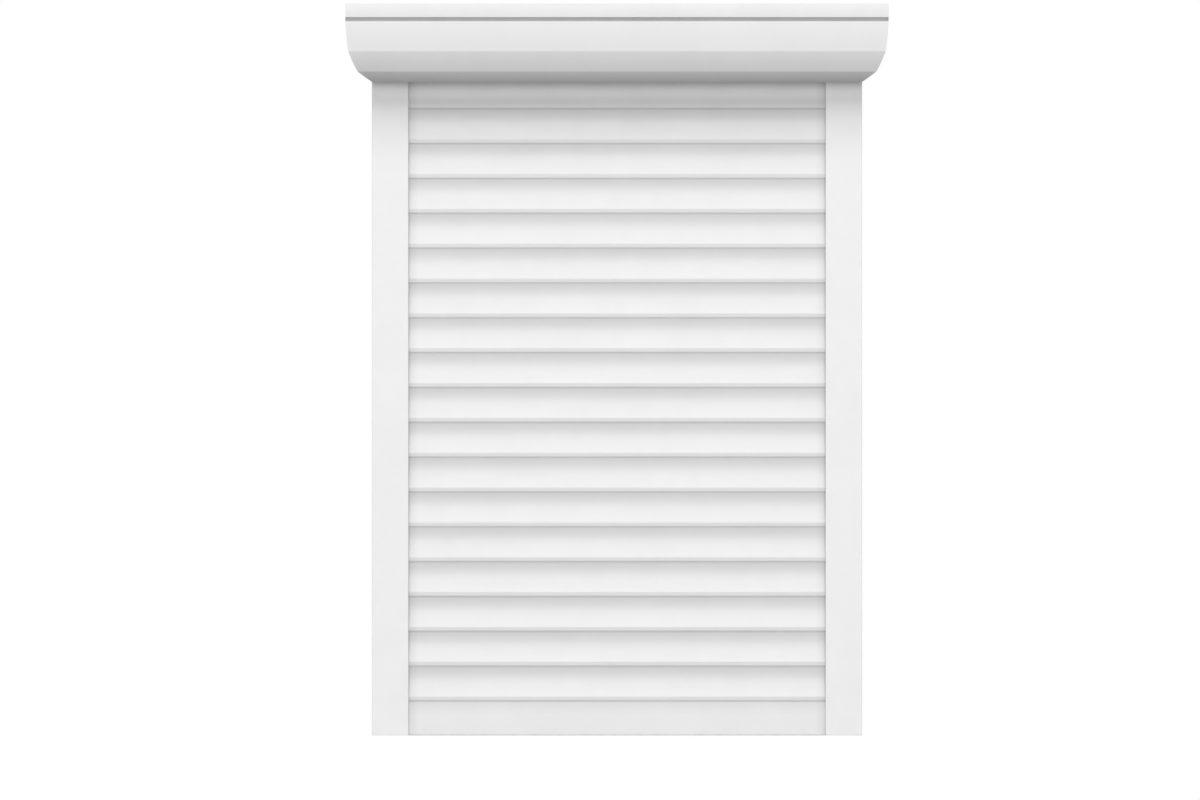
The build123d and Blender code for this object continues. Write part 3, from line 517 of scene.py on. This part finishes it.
# A pan head's profile as shares of its radius and height
PAN_HEAD = [(0.97, 0), (1, 0.25), (0.93, 0.72), (0.74, 0.95), (0.4, 1), (0, 1)]


def threaded(radius, length, pitch, depth):
    """A shank's profile with its thread's ridges, from its tip."""
    profile = [(0, 0), (radius - depth, 0)]
    ridges = int(length / pitch)
    for ridge in range(ridges):
        foot = ridge * pitch
        profile += [(radius - depth, foot + pitch * ROOT_SHARE), (radius, foot + pitch * CREST_SHARE)]
    return profile + [(radius - depth, length)]


def cross_recess(piece_name, places, up, width, length, depth):
    """Cutters for the crosses in screw heads, joined in one object."""
    form = bmesh.new()
    up = Vector(up)
    first = up.orthogonal().normalized()
    second = up.cross(first)
    for top in places:
        for one, other in ((first, second), (second, first)):
            corners = []
            for level, taper in CROSS_ENDS:
                for a, b in CORNERS:
                    corners.append(
                        form.verts.new(
                            Vector(top) + up * depth * level
                            + one * length / 2 * taper * a + other * width / 2 * taper * b
                        )
                    )
            for loop in BLOCK_FACES:
                form.faces.new([corners[k] for k in loop])
    bmesh.ops.recalc_face_normals(form, faces=form.faces)
    mesh = bpy.data.meshes.new(piece_name)
    form.to_mesh(mesh)
    form.free()
    return bpy.data.objects.new(piece_name, mesh)


def carve(piece, cutter):
    """Cuts another object's shape out of a piece for good."""
    scene.collection.objects.link(cutter)
    modifier = piece.modifiers.new("recess", "BOOLEAN")
    modifier.object = cutter
    modifier.solver = "EXACT"
    modifier.use_self = True
    bpy.context.view_layer.update()
    graph = bpy.context.evaluated_depsgraph_get()
    carved = bpy.data.meshes.new_from_object(piece.evaluated_get(graph))
    piece.modifiers.clear()
    piece.data = carved
    carved.set_sharp_from_angle(angle=SHARP_ANGLE)
    bpy.data.objects.remove(cutter)


def pan_head(radius, height):
    """A pan head's profile from its seat."""
    return [(radius * across, height * up) for across, up in PAN_HEAD]


# Screws with thread, pan head and cross recess
def screws(name, node, up, head_radius, head_height, shank_radius, places, stem):
    """Screws whose heads point along a direction, each from the tip of its shank."""
    def build(form):
        for tip in places:
            shank = threaded(shank_radius, stem, shank_radius * THREAD_PITCH_SHARE,
                             shank_radius * THREAD_DEPTH_SHARE)
            head = [(r, stem + h) for r, h in pan_head(head_radius, head_height)]
            lathe(form, shank + head, tip, up)
    piece = new_piece(name, build, "housing", "fastener_steel", node)
    tops = [Vector(tip) + Vector(up) * (stem + head_height) for tip in places]
    carve(piece, cross_recess(f"{name}_cutter", tops, up, head_radius * CROSS_WIDTH_SHARE,
                              head_radius * CROSS_LENGTH_SHARE, head_height * CROSS_DEPTH_SHARE))


COVER_SCREWS, COVER_SCREW_HEAD = 5, 1.8 * mm
COVER_SCREW_RADIUS = 2.1 * mm
low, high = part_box("cover_screws")
head = (high.y - low.y) / 2
screws(
    "cover_screws_detail", "cover_screws", (0, 0, -1), head, COVER_SCREW_HEAD, COVER_SCREW_RADIUS,
    [(x, (low.y + high.y) / 2, high.z) for x in spaced(low.x + head, high.x - head, COVER_SCREWS)],
    high.z - low.z - COVER_SCREW_HEAD,
)

PLATE_SCREW_HEAD, PLATE_SCREW_HEAD_RADIUS, PLATE_SCREW_RADIUS = 1.6 * mm, 4 * mm, 2 * mm
low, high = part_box("head_plate_screws")
screws(
    "head_plate_screws_detail", "head_plate_screws", (0, -1, 0), PLATE_SCREW_HEAD_RADIUS,
    PLATE_SCREW_HEAD, PLATE_SCREW_RADIUS,
    [(x, high.y, z)
     for x in (low.x + PLATE_SCREW_HEAD_RADIUS, high.x - PLATE_SCREW_HEAD_RADIUS)
     for z in (low.z + PLATE_SCREW_HEAD_RADIUS, high.z - PLATE_SCREW_HEAD_RADIUS)],
    high.y - low.y - PLATE_SCREW_HEAD,
)

# Blind rivets: domed heads with the broken stem in the middle
RIVET_HEAD, RIVET_RADIUS, RIVET_HEAD_RADIUS = 1.2 * mm, 2.5 * mm, 4.5 * mm
RIVET_DEPTH = 6.5 * mm
RIVET_DOME = [(1, 0), (0.92, 0.4), (0.62, 0.85), (0.34, 1), (0.3, 0.6), (0, 0.6)]
rivet_low, rivet_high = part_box("tube_rivets")


def rivets(form):
    """Two rivets at each station, one in the top flat and one in the bottom flat."""
    y = (rivet_low.y + rivet_high.y) / 2
    profile = [(0, 0), (RIVET_RADIUS, 0), (RIVET_RADIUS, RIVET_DEPTH)]
    profile += [(RIVET_HEAD_RADIUS * across, RIVET_DEPTH + RIVET_HEAD * rise) for across, rise in RIVET_DOME]
    for x in (rivet_low.x + RIVET_HEAD_RADIUS, rivet_high.x - RIVET_HEAD_RADIUS):
        lathe(form, profile, (x, y, rivet_high.z - RIVET_HEAD - RIVET_DEPTH), (0, 0, 1))
        lathe(form, profile, (x, y, rivet_low.z + RIVET_HEAD + RIVET_DEPTH), (0, 0, -1))


new_piece("tube_rivets_detail", rivets, "tube", "fastener_steel", "tube_rivets")

# Grommet: a rubber ring with a rounded flange and a ribbed bore
GROMMET_BORE, GROMMET_FLANGE, GROMMET_FLANGE_WIDTH, GROMMET_SIDES = 3.5 * mm, 1.5 * mm, 3 * mm, 40
GROMMET_EDGE, GROMMET_DOME, GROMMET_RIM, GROMMET_RIB = 0.3 * mm, 1.2 * mm, 0.4 * mm, 0.2 * mm
GROMMET_MOUTH = 0.6 * mm
RIB_SHARE, RIB_FOOT_SHARE = 0.55, 0.4
grommet_low, grommet_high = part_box("cable_grommet")


def grommet(form):
    """A ring turned round the cable outlet's axis, as a closed profile."""
    centre = (grommet_low + grommet_high) / 2
    flange = (grommet_high.x - grommet_low.x) / 2
    deep = grommet_high.y - grommet_low.y
    sleeve = flange - GROMMET_FLANGE_WIDTH
    profile = [(GROMMET_BORE + GROMMET_EDGE, 0), (sleeve - GROMMET_EDGE, 0), (sleeve, GROMMET_EDGE),
               (sleeve, deep - GROMMET_FLANGE), (flange - GROMMET_RIB, deep - GROMMET_FLANGE),
               (flange, deep - GROMMET_DOME), (flange - GROMMET_EDGE, deep - GROMMET_RIM),
               (flange - GROMMET_DOME, deep), (GROMMET_BORE + GROMMET_MOUTH, deep),
               (GROMMET_BORE, deep - GROMMET_MOUTH), (GROMMET_BORE + GROMMET_RIB, deep * RIB_SHARE),
               (GROMMET_BORE, deep * RIB_FOOT_SHARE), (GROMMET_BORE, GROMMET_EDGE)]
    angles = [2 * pi * side / GROMMET_SIDES for side in range(GROMMET_SIDES)]
    rings = [
        [form.verts.new((centre.x + radius * cos(a), grommet_high.y - height, centre.z + radius * sin(a)))
         for a in angles]
        for radius, height in profile
    ]
    for inner, outer in zip(rings, rings[1:] + rings[:1]):
        for side in range(GROMMET_SIDES):
            after = (side + 1) % GROMMET_SIDES
            form.faces.new([inner[side], inner[after], outer[after], outer[side]])


new_piece("cable_grommet_detail", grommet, "housing", "black_rubber", "cable_grommet")

# Soft strips: a foot in the profile and two flared lips towards the slats, as shares of the strip
LIP_SHARES = [(0, 0), (0.35, 0), (0.6, 0.03), (1, 0.16), (0.96, 0.25), (0.62, 0.2), (0.4, 0.34),
              (0.4, 0.66), (0.62, 0.8), (0.96, 0.75), (1, 0.84), (0.6, 0.97), (0.35, 1), (0, 1)]
seal_low, seal_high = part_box("guide_seals")
SEAL_WIDTH = 6 * mm
slat_low, slat_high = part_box("slat_01")
SEAL_GAP = 0.3 * mm


def guide_lips(form):
    """The four strips in the mouths of the guides."""
    channels = ((seal_low.y, slat_low.y - SEAL_GAP), (seal_high.y, slat_high.y + SEAL_GAP))
    for side in (-1, 1):
        edge = (seal_high.x - SEAL_WIDTH) * side
        for carrier, tip in channels:
            outline = [
                (edge + SEAL_WIDTH * across * side, carrier + (tip - carrier) * deep, seal_low.z)
                for deep, across in LIP_SHARES
            ]
            extruded(form, outline, Vector((0, 0, seal_high.z - seal_low.z)))


new_piece("guide_seal_lips", guide_lips, "housing", "soft_strip", "guide_seals")

inlet_low, inlet_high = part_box("inlet_seal")


def inlet_lips(form):
    """The strip along the slot of the headbox."""
    outline = [
        (inlet_low.x, inlet_low.y + (inlet_high.y - inlet_low.y) * deep,
         inlet_low.z + (inlet_high.z - inlet_low.z) * across)
        for deep, across in LIP_SHARES
    ]
    extruded(form, outline, Vector((inlet_high.x - inlet_low.x, 0, 0)))


new_piece("inlet_seal_lips", inlet_lips, "housing", "soft_strip", "inlet_seal")


# The floor, the camera and the light
WHITE_LIGHT = (1, 1, 1, 1)
FLOOR_TONE, FLOOR_BOUNCE_TONE, FLOOR_ROUGHNESS = 0.93, 0.3, 0.9
FLOOR_COLOR = (0.9, 0.9, 0.9)
FLOOR_REACH = 30
FLOOR_DROP = 0.2 * mm
CAMERA_DISTANCE = 8
# The sky's tone at the horizon and overhead, and the height where the second is reached
SKY = [(0, (0.03, 0.03, 0.03)), (0.8, (0.34, 0.34, 0.34))]
# Lamps: azimuth, elevation and spread in degrees, then strength
LAMPS = {
    "key": (0, 44, 40, 1.52),
    "fill": (0, 5, 22, 0.94),
    "back": (180, 14, 60, 1.6),
    "right": (90, 22, 50, 0.4),
    "left": (-90, 22, 50, 0.4),
}


def seen_directly(tree):
    """1 for camera, glossy and transmission rays."""
    path = tree.nodes.new("ShaderNodeLightPath")
    seen = combined(tree, "MAXIMUM", path.outputs["Is Camera Ray"], path.outputs["Is Glossy Ray"])
    return combined(tree, "MAXIMUM", seen, path.outputs["Is Transmission Ray"])


def floor_material():
    """Pale floor: white to the camera, darker to bounced light, so that undersides keep their shade."""
    material, tree, shader = new_material("floor", FLOOR_COLOR, FLOOR_ROUGHNESS)
    mix = tree.nodes.new("ShaderNodeMix")
    mix.data_type = "RGBA"
    for side, tone in (("A", FLOOR_BOUNCE_TONE), ("B", FLOOR_TONE)):
        mix.inputs[side].default_value = (tone, tone, tone, 1)
    tree.links.new(seen_directly(tree), mix.inputs["Factor"])
    tree.links.new(mix.outputs["Result"], shader.inputs["Base Color"])
    return material


floor_mesh = bpy.data.meshes.new("floor")
floor_mesh.from_pydata(
    [(FLOOR_REACH * x, FLOOR_REACH * y, cad_low.z - FLOOR_DROP)
     for x, y in ((-1, -1), (1, -1), (1, 1), (-1, 1))],
    [], [(0, 1, 2, 3)],
)
floor = bpy.data.objects.new("floor", floor_mesh)
scene.collection.objects.link(floor)
floor_mesh.materials.append(floor_material())
floor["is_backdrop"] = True

camera_data = bpy.data.cameras.new("camera")
camera_data.type = "ORTHO"
camera_data.ortho_scale = PHOTO_WIDTH * PIXEL
camera = bpy.data.objects.new("camera", camera_data)
camera.location = (
    (PHOTO_WIDTH / 2 - MIDDLE_PIXEL_X) * PIXEL,
    -CAMERA_DISTANCE,
    cad_high.z / 2 - (PHOTO_HEIGHT / 2 - MIDDLE_PIXEL_Y) * PIXEL,
)
camera.rotation_euler = (pi / 2, 0, 0)
scene.collection.objects.link(camera)
scene.camera = camera


def soft_light(name, azimuth, elevation, spread_angle, strength):
    """A distant soft source that lights everything evenly from one side."""
    data = bpy.data.lights.new(name, "SUN")
    data.angle = radians(spread_angle)
    data.energy = strength
    lamp = bpy.data.objects.new(name, data)
    a, e = radians(azimuth), radians(elevation)
    back = Vector((sin(a) * cos(e), -cos(a) * cos(e), sin(e)))
    lamp.rotation_mode = "QUATERNION"
    lamp.rotation_quaternion = (-back).to_track_quat("-Z", "Y")
    scene.collection.objects.link(lamp)


for name, values in LAMPS.items():
    soft_light(name, *values)

world = bpy.data.worlds.new("studio")
scene.world = world
world.use_nodes = True
tree = world.node_tree
background = tree.nodes["Background"]
direction = tree.nodes.new("ShaderNodeTexCoord")
parts = tree.nodes.new("ShaderNodeSeparateXYZ")
tree.links.new(direction.outputs["Generated"], parts.inputs["Vector"])
choice = tree.nodes.new("ShaderNodeMix")
choice.data_type = "RGBA"
tree.links.new(seen_directly(tree), choice.inputs["Factor"])
tree.links.new(ramp(tree, parts.outputs["Z"], SKY), choice.inputs["A"])
choice.inputs["B"].default_value = WHITE_LIGHT
tree.links.new(choice.outputs["Result"], background.inputs["Color"])
background.inputs["Strength"].default_value = 1

scene.view_settings.view_transform = "Standard"

low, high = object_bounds()
